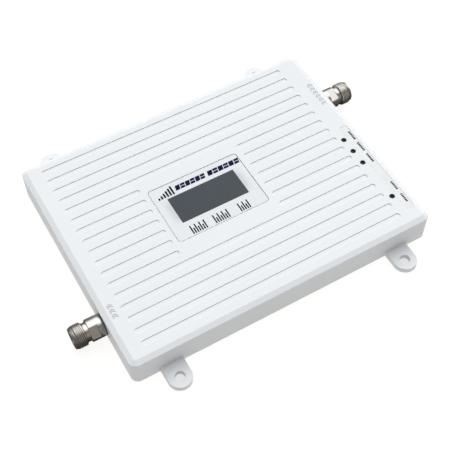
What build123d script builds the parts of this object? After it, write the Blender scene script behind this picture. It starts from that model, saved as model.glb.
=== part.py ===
from build123d import *
import os
from math import atan2, cos, degrees, radians

# Signal repeater: a flat cast housing with a grooved top, a display, two coaxial ports and four
# mounting ears, and the boards, filters and fasteners that it holds. Millimetres.
# Origin: centre of the underside. +X to the right along the long side, +Y rear, +Z up.

os.makedirs("parts", exist_ok=True)

# ---- driving dimensions: housing -------------------------------------------------------------
BODY_L = 218.0            # along X, over the walls
BODY_W = 170.0            # along Y, over the walls
BODY_H = 21.4
CORNER_R = 5.2            # vertical corners
BEVEL_IN = 3.7            # shallow bevel round the top face
BEVEL_DROP = 1.4
EDGE_R = 0.5              # softening of the bevel's two creases
RIM_EDGE_R = 0.2          # softening of the rims in the top face
FOOT_EDGE = 0.3           # chamfer round the underside
WALL = 3.0
RIM = 1.5                 # wall left round the bottom cover
CEILING_Z = 18.4          # underside of the top wall
THROUGH = 1.0             # how far a cut runs past the face it opens in

# ---- bottom cover and its gasket -------------------------------------------------------------
COVER_Z0 = 0.2            # underside of the cover, just inside the rim
COVER_T = 1.5
COVER_GAP = 0.15
GASKET_T = 0.4
GASKET_GAP = 0.2
COVER_Z1 = COVER_Z0 + COVER_T
LEDGE_Z = COVER_Z1 + GASKET_T

# ---- grooves in the top ----------------------------------------------------------------------
GROOVE_PITCH = 9.3
GROOVE_Y = 0.95           # the middle row
GROOVE_ROWS = 8           # rows each side of the middle one
GROOVE_W = 3.5
GROOVE_DEPTH = 0.5
GROOVE_X0 = -96.3
GROOVE_X1 = 92.0
SPLIT_ROWS = 3            # rows each side of the middle that the display interrupts
SPLIT_X0 = -46.2
SPLIT_X1 = 28.8

# ---- mounting ears ---------------------------------------------------------------------------
EAR_X = 83.3
EAR_Y = 95.5
EAR_R = 8.0
EAR_T = 4.0
EAR_HOLE_R = 3.2
EAR_EDGE_R = 0.45
EAR_BLEND_R = 0.8
EAR_PLACES = [(x, y) for x in (-EAR_X, EAR_X) for y in (-EAR_Y, EAR_Y)]

# ---- display ---------------------------------------------------------------------------------
PLATE_X = -8.8
PLATE_Y = 2.3
PLATE_L = 67.2
PLATE_W = 45.6
PLATE_R = 2.0
PLATE_T = 1.0
PLATE_GAP = 0.35
PLATE_SINK = 0.2          # the plate's face below the housing's face
PLATE_EDGE_R = 0.15
LCD_X = -8.5
LCD_Y = 2.8
LCD_FRAME_L = 58.0
LCD_FRAME_W = 30.0
LCD_FRAME_GAP = 0.3
LCD_VIEW_L = 51.4
LCD_VIEW_W = 23.2
LCD_SHEET = 0.4
LCD_LAYER_GAP = 0.1
LCD_GLASS_T = 1.6
LCD_LIGHT_T = 2.0
LCD_BOARD_L = 64.0
LCD_BOARD_W = 40.0
LCD_BOARD_T = 1.2
LCD_BOARD_R = 1.0
PLATE_Z0 = BODY_H - PLATE_SINK - PLATE_T
LCD_TOP_Z = PLATE_Z0 - 0.1
LCD_GLASS_Z = LCD_TOP_Z - LCD_SHEET - LCD_GLASS_T
LCD_LIGHT_Z = LCD_GLASS_Z - LCD_LIGHT_T
LCD_BOARD_Z = LCD_LIGHT_Z - LCD_BOARD_T

# ---- small screws that hold the display's board ----------------------------------------------
LCD_BOSS_R = 2.0
LCD_SCREW_R = 0.95
LCD_SCREW_HOLE_R = 1.0
LCD_SCREW_END = CEILING_Z - 0.6
LCD_HEAD_R = 1.8
LCD_HEAD_H = 1.2
LCD_HEAD_EDGE_R = 0.4
LCD_SCREWS = [(LCD_X + x, LCD_Y + y) for x in (-29.0, 29.0) for y in (-17.8, 17.8)]

# ---- flat cable from the display's board to the main board -------------------------------------
RIBBON_W = 14.0
RIBBON_T = 0.3
RIBBON_Y0 = -6.0          # where it leaves the sockets
RIBBON_Y1 = -19.5         # where it starts to turn back
SOCKET_L = 17.0
SOCKET_W = 4.0
SOCKET_H = 1.3

# ---- indicators beside the right edge --------------------------------------------------------
LED_PLACES = [(95.9, -2.6), (95.9, -14.0), (95.9, -25.5), (96.4, -58.8)]
LED_HOLE_R = 1.9
LED_HOLDER_R = 1.85
LED_HOLDER_TOP = BODY_H - 0.2
LED_FLANGE_R = 2.6
LED_FLANGE_T = 0.8
LED_PIPE_R = 1.1
LED_PIPE_GAP = 0.05
LED_PIPE_FOOT_R = 1.7
LED_PIPE_DOME_R = 0.7
LED_PIPE_TOP = BODY_H - 0.9
LED_CHIP_L = 2.0
LED_CHIP_W = 1.25
LED_CHIP_H = 0.8
LED_CHIP_GAP = 0.2        # between the chip and the light pipe's foot
STRIP_X = 101.7
STRIP_Y = -32.3
STRIP_L = 81.0
STRIP_W = 6.0
STRIP_R = 2.5
STRIP_DEPTH = 0.3
STRIP_GAP = 0.1
STRIP_FILM_T = 0.2

# ---- coaxial ports, measured outwards from the wall's outer face -------------------------------
PORT_Y = 43.1             # left port towards the front, right port towards the rear
PORT_Z = 9.7
PORT_SEAL_T = 0.6
PORT_SHANK_R = 5.5
PORT_SHANK_GAP = 0.1      # round the shank in the wall
PORT_FIT_GAP = 0.05       # round the shank in its rings
PORT_SHANK_END = -8.0
PORT_SHANK_LEAD = 0.4     # chamfer at the shank's inner end
PORT_BODY_R = 7.5
PORT_BODY_END = 10.0
PORT_BODY_EDGE = 0.3
PORT_FLAT_START = 4.2
PORT_FLAT = 6.1           # half the distance across the wrench flats
PORT_NECK_R = 6.3
PORT_NECK_STRAIGHT = 12.6
PORT_NECK_END = 13.2
THREAD_R = 7.94           # 5/8 inch major radius
THREAD_ROOT_R = 7.35
THREAD_PITCH = 25.4 / 24
THREAD_CRESTS = 5
THREAD_START = 13.5
THREAD_SLOPE = 0.38 * THREAD_PITCH
THREAD_CREST = 0.16 * THREAD_PITCH
PORT_CONE_R = 7.84        # where the tapered nose starts
PORT_LIP_R = 7.0
PORT_LIP_L = 0.5
PORT_LIP_EDGE = 0.15
PORT_TIP = 21.2
PORT_BORE_R = 4.2
PORT_BORE_EDGE = 0.3
PORT_BORE_END = PORT_TIP - 9.0
PORT_INSULATOR_R = 3.4
PORT_INSULATOR_GAP = 0.02
PORT_COLLAR_R = 2.8       # insulator's raised collar round the contact
PORT_COLLAR_L = 1.2
PORT_CONTACT_R = 1.52
PORT_CONTACT_BORE_R = 0.82
PORT_CONTACT_BORE_L = 5.0
PORT_CONTACT_SLIT_L = 4.0
PORT_CONTACT_SLIT_W = 0.35
PORT_CONTACT_EDGE = 0.25
PORT_CONTACT_TIP = 17.0
PORT_PIN_R = 0.635
PORT_PIN_END = -14.0
PORT_NUT_FLATS = 15.0
PORT_NUT_T = 3.0
PORT_LOCKWASHER_R = 7.2
PORT_LOCKWASHER_T = 0.8
PORT_LOCKWASHER_TEETH = 12
NUT_CORNER_TRIM = 0.25
NUT_EDGE = 0.3
NUT_BORE_GAP = 0.04
LEFT_FLAT_TURN = -53.0    # turn of the wrench flats about each port's own axis
RIGHT_FLAT_TURN = 22.0

# ---- main board ------------------------------------------------------------------------------
BOARD_T = 1.6
BOARD_TOP = PORT_Z - PORT_PIN_R
BOARD_Z0 = BOARD_TOP - BOARD_T
BOARD_L = 198.0
BOARD_W = 150.0
BOARD_R = 2.0
NOTCH_X = 90.0            # where the board's two notches start
SWITCH_NOTCH_W = 9.4
JACK_NOTCH_Y = -66.9
JACK_NOTCH_W = 11.4

# ---- housing screws --------------------------------------------------------------------------
BOARD_SCREWS = [(-92, -68), (-92, 68), (92, 68), (80, -68), (0, -62), (0, 62)]
COVER_SCREWS = [(x, y) for x in (-102.5, -36.0, 36.0, 102.5) for y in (-78.5, 78.5)]
COVER_SCREWS += [(-102.5, 0.0), (102.5, 0.0)]
BOSS_R = 3.2
SCREW_R = 1.45
SCREW_HOLE_R = 1.5
SCREW_PASS_R = 1.6        # holes that the screws pass through
COVER_HOLE_TOP = 10.0
COVER_SCREW_END = 8.0
COVER_HEAD_R = 2.75
COVER_HEAD_H = 1.2
COVER_HEAD_GAP = 0.05
BOARD_HOLE_TOP = 16.0
BOARD_SCREW_END = 15.0
BOARD_HEAD_R = 2.7
BOARD_HEAD_H = 1.9
BOARD_HEAD_EDGE_R = 0.6
CROSS_W = 0.55            # width of the driver recess's arms

# ---- radio parts on the board, and the heat path above them ------------------------------------
CAN_L = 40.0
CAN_W = 84.0
CAN_H = 5.0
CAN_R = 1.0
CAN_SHEET = 0.4
CAN_X = {"outdoor": -70.0, "indoor": 62.0}
CAN_Y = 7.0
PEDESTAL_L = 26.0
PEDESTAL_W = 44.0
PEDESTAL_Y = 18.0
PAD_INSET = 1.0
PAD_T = 0.935
PEDESTAL_Z = BOARD_TOP + CAN_H + PAD_T
AMPLIFIER_SIZE = (7.0, 7.0, 1.2)
AMPLIFIER_Y = (10.0, 26.0)
FILTER_SIZE = (13.0, 9.0, 3.2)
FILTER_X = (-9.0, 9.0)    # either side of each can's middle
FILTER_Y = (-22.0, -8.0)
CONTROLLER_SIZE = (14.0, 14.0, 1.4)
CONTROLLER_PLACE = (-16.0, 20.0)
OSCILLATOR_SIZE = (7.0, 5.0, 1.8)
OSCILLATOR_PLACE = (6.0, 18.0)
OSCILLATOR_R = 0.8
OSCILLATOR_EDGE_R = 0.4

# ---- power parts on the board ----------------------------------------------------------------
INDUCTOR_SIZE = 12.0
INDUCTOR_H = 6.5
INDUCTOR_R = 2.5
INDUCTOR_EDGE_R = 0.6
INDUCTOR_PLACE = (32.0, -60.0)
CAPACITOR_R = 4.0
CAPACITOR_H = 8.4
CAPACITOR_EDGE_R = 0.5
CAPACITOR_BASE = 8.4
CAPACITOR_BASE_H = 0.9
CAPACITOR_X = (46.0, 56.0, 66.0)
CAPACITOR_Y = -56.0

# ---- power switch in the right wall ----------------------------------------------------------
SWITCH_Y = -50.5
SWITCH_FLANGE_W = 10.0
SWITCH_FLANGE_H = 15.0
SWITCH_FLANGE_T = 1.2
SWITCH_FLANGE_EDGE_R = 0.4
SWITCH_BODY_W = 8.4
SWITCH_BODY_H = 13.4
SWITCH_BODY_GAP = 0.1     # both sides together
SWITCH_BACK = 1.2 - 11.0  # rear of the switch, from the wall's outer face
ROCKER_R = 5.6
ROCKER_GAP = 0.3
ROCKER_W = 6.4
ROCKER_TILT = 11.0
ROCKER_MID = 2.0          # rocker's face above its pivot, at the middle of the vee
ROCKER_BACK = 2.0
PIVOT_X = BODY_L / 2 - 0.4
PIVOT_R = 0.8
PIVOT_GAP = 0.05
PIVOT_L = 0.5             # how far each end of the axle runs into the frame
ROCKER_SPACE_W = ROCKER_W + 2 * ROCKER_GAP
PIVOT_SPACE_W = ROCKER_SPACE_W + 2 * PIVOT_L
PIVOT_END_GAP = 0.05

# ---- power inlet in the right wall -----------------------------------------------------------
JACK_Y = -66.0
JACK_BUSH_R = 3.95
JACK_BUSH_GAP = 0.1
JACK_BUSH_EDGE = 0.4
JACK_BORE_R = 2.9
JACK_BORE_DEPTH = 9.5
JACK_PROUD = 2.6
JACK_FLANGE_R = 5.0
JACK_FLANGE_T = 1.4
JACK_BODY_R = 4.6
JACK_BODY_L = 7.6
JACK_NUT_FLATS = 10.5
JACK_NUT_T = 2.0
JACK_PIN_R = 1.05
JACK_PIN_GAP = 0.02
JACK_PIN_EDGE_R = 0.5
JACK_PIN_SINK = 1.0       # the pin's tip below the bush's face
JACK_BACK = -WALL - JACK_FLANGE_T - JACK_BODY_L

# ---- solder tabs and the leads between them --------------------------------------------------
TAB_OFFSET = 3.4
TAB_L = 3.0
SWITCH_TAB_INSET = 2.0    # how far the switch's tabs run into its back
SWITCH_TAB_W = 3.8
SWITCH_TAB_T = 0.7
SWITCH_TAB_SLOT_W = 4.0
SWITCH_TAB_SLOT_T = 0.9
JACK_TAB_W = 3.0
JACK_TAB_T = 0.6
JACK_TAB_X = BODY_L / 2 + JACK_BACK - TAB_L
SWITCH_TAB_X = BODY_L / 2 + SWITCH_BACK - TAB_L
LOW_TAB_Z = PORT_Z - TAB_OFFSET
HIGH_TAB_Z = PORT_Z + TAB_OFFSET
LEAD_R = 0.6
LEAD_BEND = 1.2
BUS_X = JACK_TAB_X - 2.2
LEAD_FOOT_X = 87.0        # where the two board leads go down


def prism(length, width, radius, z0, z1, x=0.0, y=0.0):
    """Upright block with rounded corners between two heights."""
    outline = Pos(x, y, z0) * RectangleRounded(length, width, radius)
    return extrude(outline, amount=z1 - z0)


def block(length, width, z0, z1, x=0.0, y=0.0):
    """Upright square-cornered block between two heights."""
    return Pos(x, y, (z0 + z1) / 2) * Box(length, width, z1 - z0)


def rod(radius, z0, z1, x=0.0, y=0.0):
    """Upright cylinder between two heights."""
    return Pos(x, y, (z0 + z1) / 2) * Cylinder(radius, z1 - z0)


def group(solids):
    """Separate solids of one node."""
    return Compound(children=list(solids))


def round_top(shape, radius):
    """Rounds the edges of the uppermost face."""
    return fillet(shape.edges().group_by(Axis.Z)[-1], radius)


def round_bottom(shape, radius):
    """Rounds the edges of the lowest face."""
    return fillet(shape.edges().group_by(Axis.Z)[0], radius)


def turned(profile):
    """Solid of revolution about Z from (radius, height) points."""
    face = make_face(Plane.XZ * Polyline(*profile, close=True))
    return revolve(face, Axis.Z)


def at_port(side, shape):
    """Places a shape made along +Z from the wall's outer face at the left or right port."""
    if side == "outdoor":
        place = Pos(-BODY_L / 2, -PORT_Y, PORT_Z) * Rot(0, -90, 0)
    else:
        place = Pos(BODY_L / 2, PORT_Y, PORT_Z) * Rot(0, 90, 0)
    return place * shape


def at_right_wall(y, shape):
    """Places a shape made along +Z from the wall's outer face in the right wall."""
    return Pos(BODY_L / 2, y, PORT_Z) * Rot(0, 90, 0) * shape


# ---- housing ---------------------------------------------------------------------------------
def groove(x0, x1, row):
    """One round-ended groove of the top."""
    y = GROOVE_Y + row * GROOVE_PITCH
    outline = Pos((x0 + x1) / 2, y, BODY_H) * SlotOverall(x1 - x0, GROOVE_W)
    return extrude(outline, amount=-GROOVE_DEPTH)


def all_grooves():
    cuts = []
    for row in range(-GROOVE_ROWS, GROOVE_ROWS + 1):
        if abs(row) <= SPLIT_ROWS:
            cuts.append(groove(GROOVE_X0, SPLIT_X0, row))
            cuts.append(groove(SPLIT_X1, GROOVE_X1, row))
        else:
            cuts.append(groove(GROOVE_X0, GROOVE_X1, row))
    return cuts


def ear(x, y):
    """Round-ended ear with its hole, that grows out of the wall."""
    reach = EAR_Y - BODY_W / 2 + WALL
    inward = -1 if y > 0 else 1
    web = block(2 * EAR_R, reach, 0, EAR_T, x, y + inward * reach / 2)
    plate = web + rod(EAR_R, 0, EAR_T, x, y) - rod(EAR_HOLE_R, -THROUGH, EAR_T + THROUGH, x, y)
    return round_top(plate, EAR_EDGE_R)


def outer_form():
    """Housing's outside before anything is cut from it."""
    near = 0.01
    bevel_z = BODY_H - BEVEL_DROP
    taper = degrees(atan2(BEVEL_IN, BEVEL_DROP))
    lower = prism(BODY_L, BODY_W, CORNER_R, 0, bevel_z)
    top = extrude(Pos(0, 0, bevel_z) * RectangleRounded(BODY_L, BODY_W, CORNER_R),
                  amount=BEVEL_DROP, taper=taper)
    form = lower + top
    form = fillet(form.edges().filter_by_position(Axis.Z, bevel_z - near, BODY_H + near), EDGE_R)
    for x, y in EAR_PLACES:
        form += ear(x, y)
    roots = form.edges().filter_by_position(Axis.Z, EAR_T - near, EAR_T + near)
    front = roots.filter_by_position(Axis.Y, -BODY_W / 2 - near, -BODY_W / 2 + near)
    rear = roots.filter_by_position(Axis.Y, BODY_W / 2 - near, BODY_W / 2 + near)
    form = fillet(front + rear, EAR_BLEND_R)
    return chamfer(form.edges().group_by(Axis.Z)[0], FOOT_EDGE)


def inner_bosses():
    """Screw bosses and heat pedestals that hang from the top wall."""
    top = CEILING_Z + WALL / 6
    bosses = [rod(BOSS_R, COVER_Z1, top, x, y) for x, y in COVER_SCREWS]
    bosses += [rod(BOSS_R, BOARD_TOP, top, x, y) for x, y in BOARD_SCREWS]
    bosses += [rod(LCD_BOSS_R, LCD_BOARD_Z + LCD_BOARD_T, top, x, y) for x, y in LCD_SCREWS]
    bosses += [block(PEDESTAL_L, PEDESTAL_W, PEDESTAL_Z, top, x, PEDESTAL_Y) for x in CAN_X.values()]
    return bosses


def top_cuts():
    """Grooves, display recess and indicator holes of the top face."""
    past = BODY_H + THROUGH
    cuts = all_grooves()
    cuts.append(prism(PLATE_L + 2 * PLATE_GAP, PLATE_W + 2 * PLATE_GAP, PLATE_R + PLATE_GAP,
                      PLATE_Z0, past, PLATE_X, PLATE_Y))
    cuts += [rod(LED_HOLE_R, CEILING_Z - THROUGH, past, x, y) for x, y in LED_PLACES]
    return cuts


def soften_top(shell):
    """Rounds the rim of everything that is cut into the top face."""
    top = shell.faces().sort_by(Axis.Z)[-1]
    return shell.fillet(RIM_EDGE_R, [edge for wire in top.inner_wires() for edge in wire.edges()])


def late_cuts():
    """Shallow strip for the indicators' film, and the opening under the display's plate."""
    strip = prism(STRIP_W, STRIP_L, STRIP_R, BODY_H - STRIP_DEPTH, BODY_H + THROUGH, STRIP_X, STRIP_Y)
    opening = block(LCD_FRAME_L + 2 * LCD_FRAME_GAP, LCD_FRAME_W + 2 * LCD_FRAME_GAP,
                    CEILING_Z - THROUGH, PLATE_Z0, LCD_X, LCD_Y)
    return [strip, opening]


def screw_cuts():
    """Blind screw holes in the bosses."""
    cuts = [rod(SCREW_HOLE_R, 0, COVER_HOLE_TOP, x, y) for x, y in COVER_SCREWS]
    cuts += [rod(SCREW_HOLE_R, 0, BOARD_HOLE_TOP, x, y) for x, y in BOARD_SCREWS]
    return cuts + [rod(LCD_SCREW_HOLE_R, 0, CEILING_Z, x, y) for x, y in LCD_SCREWS]


def wall_cuts():
    """Openings of the side walls."""
    z0 = -WALL - THROUGH
    cuts = [at_port(side, rod(PORT_SHANK_R + PORT_SHANK_GAP, z0, THROUGH)) for side in CAN_X]
    body = block(SWITCH_BODY_H + SWITCH_BODY_GAP, SWITCH_BODY_W + SWITCH_BODY_GAP, z0, THROUGH)
    cuts.append(at_right_wall(SWITCH_Y, body))
    cuts.append(at_right_wall(JACK_Y, rod(JACK_BUSH_R + JACK_BUSH_GAP, z0, THROUGH)))
    return cuts


def make_housing():
    cavity = prism(BODY_L - 2 * WALL, BODY_W - 2 * WALL, CORNER_R - WALL, -THROUGH, CEILING_Z)
    mouth = prism(BODY_L - 2 * RIM, BODY_W - 2 * RIM, CORNER_R - RIM, -THROUGH, LEDGE_Z)
    inside = prism(BODY_L - 2 * RIM, BODY_W - 2 * RIM, CORNER_R - RIM, 0, BODY_H - BEVEL_DROP)
    shell = outer_form() - cavity - mouth
    for boss in inner_bosses():
        shell += boss & inside
    for cut in top_cuts():
        shell -= cut
    shell = soften_top(shell)
    for cut in late_cuts() + screw_cuts() + wall_cuts():
        shell -= cut
    return shell


# ---- bottom cover ----------------------------------------------------------------------------
def make_bottom_cover():
    inset = RIM + COVER_GAP
    cover = prism(BODY_L - 2 * inset, BODY_W - 2 * inset, CORNER_R - inset, COVER_Z0, COVER_Z1)
    sink = Cone(COVER_HEAD_R + COVER_HEAD_GAP, SCREW_PASS_R, COVER_HEAD_H)
    for x, y in COVER_SCREWS:
        cover -= Pos(x, y, COVER_Z0 + COVER_HEAD_H / 2) * sink
        cover -= rod(SCREW_PASS_R, COVER_Z0, COVER_Z1 + THROUGH, x, y)
    return cover


def make_cover_gasket():
    outset = RIM + GASKET_GAP
    inset = WALL - GASKET_GAP
    outer = prism(BODY_L - 2 * outset, BODY_W - 2 * outset, CORNER_R - outset, COVER_Z1, LEDGE_Z)
    inner = prism(BODY_L - 2 * inset, BODY_W - 2 * inset, CORNER_R - inset,
                  COVER_Z1 - THROUGH, LEDGE_Z + THROUGH)
    ring = outer - inner
    for x, y in COVER_SCREWS:
        ring -= rod(BOSS_R + GASKET_GAP, COVER_Z1 - THROUGH, LEDGE_Z + THROUGH, x, y)
    return ring


def cross_recess(radius, depth):
    """Cross-shaped driver recess that starts at height zero and goes up."""
    bar = block(2 * radius, CROSS_W, 0, depth)
    return bar + Rot(0, 0, 90) * bar


def make_cover_screws():
    head = Pos(0, 0, COVER_Z0 + COVER_HEAD_H / 2) * Cone(COVER_HEAD_R, SCREW_R, COVER_HEAD_H)
    screw = head + rod(SCREW_R, COVER_Z0 + COVER_HEAD_H, COVER_SCREW_END)
    screw -= Pos(0, 0, COVER_Z0) * cross_recess(1.5, 0.8)
    return group(Pos(x, y) * screw for x, y in COVER_SCREWS)


# ---- display ---------------------------------------------------------------------------------
def make_display_plate():
    plate = prism(PLATE_L, PLATE_W, PLATE_R, PLATE_Z0, PLATE_Z0 + PLATE_T, PLATE_X, PLATE_Y)
    return round_top(plate, PLATE_EDGE_R)


def make_lcd_bezel():
    z0 = LCD_BOARD_Z + LCD_BOARD_T
    frame = block(LCD_FRAME_L, LCD_FRAME_W, z0, LCD_TOP_Z, LCD_X, LCD_Y)
    frame -= block(LCD_FRAME_L - 2 * LCD_SHEET, LCD_FRAME_W - 2 * LCD_SHEET, z0 - THROUGH,
                   LCD_TOP_Z - LCD_SHEET, LCD_X, LCD_Y)
    frame -= block(LCD_VIEW_L, LCD_VIEW_W, z0, LCD_TOP_Z + THROUGH, LCD_X, LCD_Y)
    return frame


def lcd_layer(z0, thickness):
    """One sheet that fills the display's frame."""
    inset = 2 * (LCD_SHEET + LCD_LAYER_GAP)
    return block(LCD_FRAME_L - inset, LCD_FRAME_W - inset, z0, z0 + thickness, LCD_X, LCD_Y)


def make_lcd_board():
    z1 = LCD_BOARD_Z + LCD_BOARD_T
    board = prism(LCD_BOARD_L, LCD_BOARD_W, LCD_BOARD_R, LCD_BOARD_Z, z1, LCD_X, LCD_Y)
    for x, y in LCD_SCREWS:
        board -= rod(LCD_SCREW_HOLE_R + 0.1, 0, BODY_H, x, y)
    return board


def make_lcd_screws():
    head_z = LCD_BOARD_Z - LCD_HEAD_H
    head = round_bottom(rod(LCD_HEAD_R, head_z, LCD_BOARD_Z), LCD_HEAD_EDGE_R)
    screw = head + rod(LCD_SCREW_R, LCD_BOARD_Z, LCD_SCREW_END)
    screw -= Pos(0, 0, head_z) * cross_recess(1.0, 0.6)
    return group(Pos(x, y) * screw for x, y in LCD_SCREWS)


def make_ribbon_sockets():
    y = RIBBON_Y0 + SOCKET_W / 2
    upper = block(SOCKET_L, SOCKET_W, LCD_BOARD_Z - SOCKET_H, LCD_BOARD_Z, LCD_X, y)
    lower = block(SOCKET_L, SOCKET_W, BOARD_TOP, BOARD_TOP + SOCKET_H, LCD_X, y)
    return group([upper, lower])


def make_lcd_ribbon():
    """Flat cable that leaves one socket, turns back in a U and enters the other."""
    upper_z = LCD_BOARD_Z - SOCKET_H / 2
    lower_z = BOARD_TOP + SOCKET_H / 2
    bend = (upper_z - lower_z) / 2
    mid_z = (upper_z + lower_z) / 2
    run = RIBBON_Y0 - RIBBON_Y1
    outer = Plane.YZ * Pos(RIBBON_Y1, mid_z) * Circle(bend + RIBBON_T / 2)
    inner = Plane.YZ * Pos(RIBBON_Y1, mid_z) * Circle(bend - RIBBON_T / 2)
    reach = 2 * bend
    half = Plane.YZ * Pos(RIBBON_Y1 - reach / 2, mid_z) * Rectangle(reach, 2 * reach)
    turn = (outer - inner) & half
    upper = Plane.YZ * Pos(RIBBON_Y1 + run / 2, upper_z) * Rectangle(run, RIBBON_T)
    lower = Plane.YZ * Pos(RIBBON_Y1 + run / 2, lower_z) * Rectangle(run, RIBBON_T)
    section = turn + upper + lower
    return Pos(LCD_X - RIBBON_W / 2) * extrude(section, amount=RIBBON_W, dir=(1, 0, 0))


# ---- indicators ------------------------------------------------------------------------------
def make_indicator_label():
    z0 = BODY_H - STRIP_DEPTH
    return prism(STRIP_W - 2 * STRIP_GAP, STRIP_L - 2 * STRIP_GAP, STRIP_R - STRIP_GAP,
                 z0, z0 + STRIP_FILM_T, STRIP_X, STRIP_Y)


def make_led_holders():
    ring = rod(LED_HOLDER_R, CEILING_Z - LED_FLANGE_T, LED_HOLDER_TOP)
    ring += rod(LED_FLANGE_R, CEILING_Z - LED_FLANGE_T, CEILING_Z)
    ring -= rod(LED_PIPE_R + LED_PIPE_GAP, 0, BODY_H)
    return group(Pos(x, y) * ring for x, y in LED_PLACES)


def make_light_pipes():
    z0 = BOARD_TOP + LED_CHIP_H + LED_CHIP_GAP
    pipe = round_top(rod(LED_PIPE_R, z0, LED_PIPE_TOP), LED_PIPE_DOME_R)
    pipe += rod(LED_PIPE_FOOT_R, z0, CEILING_Z - LED_FLANGE_T)
    return group(Pos(x, y) * pipe for x, y in LED_PLACES)


def make_indicator_leds():
    chip = block(LED_CHIP_L, LED_CHIP_W, BOARD_TOP, BOARD_TOP + LED_CHIP_H)
    return group(Pos(x, y) * chip for x, y in LED_PLACES)


# ---- coaxial ports ---------------------------------------------------------------------------
def thread_profile():
    """Outline points of the thread's crests and roots, from the neck outwards."""
    points = []
    for turn in range(THREAD_CRESTS):
        z = THREAD_START + turn * THREAD_PITCH
        crest_z = z + THREAD_SLOPE
        points += [(THREAD_ROOT_R, z), (THREAD_R, crest_z), (THREAD_R, crest_z + THREAD_CREST),
                   (THREAD_ROOT_R, crest_z + THREAD_CREST + THREAD_SLOPE)]
    return points


def make_port_shell(turn):
    thread_end = THREAD_START + THREAD_CRESTS * THREAD_PITCH
    outline = [(PORT_INSULATOR_R, PORT_SHANK_END), (PORT_SHANK_R - PORT_SHANK_LEAD, PORT_SHANK_END),
               (PORT_SHANK_R, PORT_SHANK_END + PORT_SHANK_LEAD), (PORT_SHANK_R, PORT_SEAL_T),
               (PORT_BODY_R, PORT_SEAL_T), (PORT_BODY_R, PORT_BODY_END - PORT_BODY_EDGE),
               (PORT_BODY_R - PORT_BODY_EDGE, PORT_BODY_END), (PORT_NECK_R, PORT_BODY_END),
               (PORT_NECK_R, PORT_NECK_STRAIGHT), (THREAD_ROOT_R, PORT_NECK_END)]
    outline += thread_profile()
    outline += [(PORT_CONE_R, thread_end), (PORT_LIP_R, PORT_TIP - PORT_LIP_L),
                (PORT_LIP_R, PORT_TIP - PORT_LIP_EDGE), (PORT_LIP_R - PORT_LIP_EDGE, PORT_TIP),
                (PORT_BORE_R + PORT_BORE_EDGE, PORT_TIP), (PORT_BORE_R, PORT_TIP - PORT_BORE_EDGE),
                (PORT_BORE_R, PORT_BORE_END), (PORT_INSULATOR_R, PORT_BORE_END)]
    shell = turned(outline)
    waste = 2 * PORT_BODY_R
    for side in (-1, 1):
        flat = block(waste, 2 * waste, PORT_FLAT_START, PORT_BODY_END, side * (PORT_FLAT + waste / 2))
        shell -= Rot(0, 0, turn) * flat
    return shell


def make_port_seal():
    return rod(PORT_BODY_R - 0.15, 0, PORT_SEAL_T) - rod(PORT_SHANK_R + PORT_FIT_GAP, -1, 2)


def make_port_insulator():
    body = rod(PORT_INSULATOR_R - PORT_INSULATOR_GAP, PORT_SHANK_END, PORT_BORE_END)
    body += rod(PORT_COLLAR_R, PORT_BORE_END, PORT_BORE_END + PORT_COLLAR_L)
    body -= rod(PORT_PIN_R + PORT_INSULATOR_GAP, PORT_SHANK_END - THROUGH, 0)
    return body - rod(PORT_CONTACT_R + PORT_INSULATOR_GAP, 0, PORT_TIP)


def make_port_contact():
    """Centre contact: a slotted socket in front and a solder pin behind."""
    tip = PORT_CONTACT_TIP
    socket = rod(PORT_CONTACT_R, 0, tip)
    socket = chamfer(socket.edges().group_by(Axis.Z)[-1], PORT_CONTACT_EDGE)
    socket -= rod(PORT_CONTACT_BORE_R, tip - PORT_CONTACT_BORE_L, tip + THROUGH)
    slit = block(3 * PORT_CONTACT_R, PORT_CONTACT_SLIT_W, tip - PORT_CONTACT_SLIT_L, tip + THROUGH)
    socket = socket - slit - Rot(0, 0, 90) * slit
    return socket + rod(PORT_PIN_R, PORT_PIN_END, 0)


def hexagon(flats, z0, z1, bore_r):
    """Hexagonal nut with trimmed corners."""
    outline = Rot(0, 0, 30) * RegularPolygon(flats / 2, 6, major_radius=False)
    nut = extrude(Pos(0, 0, z0) * outline, amount=z1 - z0)
    trim = rod(flats / 2 / cos(radians(30)) - NUT_CORNER_TRIM, z0, z1)
    trim = chamfer(trim.edges(), NUT_EDGE)
    return (nut & trim) - rod(bore_r, z0 - THROUGH, z1 + THROUGH)


def make_port_lockwasher():
    z1 = -WALL
    z0 = z1 - PORT_LOCKWASHER_T
    ring = rod(PORT_LOCKWASHER_R, z0, z1) - rod(PORT_SHANK_R + PORT_FIT_GAP, z0 - 1, z1 + 1)
    notch = Pos(PORT_SHANK_R + 0.3, 0, (z0 + z1) / 2) * Box(0.9, 0.8, 2)
    for tooth in range(PORT_LOCKWASHER_TEETH):
        ring -= Rot(0, 0, 360 / PORT_LOCKWASHER_TEETH * tooth) * notch
    return ring


def make_port_nut():
    z1 = -WALL - PORT_LOCKWASHER_T
    return hexagon(PORT_NUT_FLATS, z1 - PORT_NUT_T, z1, PORT_SHANK_R + NUT_BORE_GAP)


# ---- main board and what it carries ----------------------------------------------------------
def board_notch(width, y):
    """Notch that runs in from the board's right edge."""
    reach = BODY_L / 2 - NOTCH_X
    return block(reach, width, 0, BODY_H, NOTCH_X + reach / 2, y)


def make_main_board():
    board = prism(BOARD_L, BOARD_W, BOARD_R, BOARD_Z0, BOARD_TOP)
    for x, y in BOARD_SCREWS:
        board -= rod(SCREW_PASS_R, 0, BODY_H, x, y)
    board -= board_notch(SWITCH_NOTCH_W, SWITCH_Y)
    return board - board_notch(JACK_NOTCH_W, JACK_NOTCH_Y)


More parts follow.
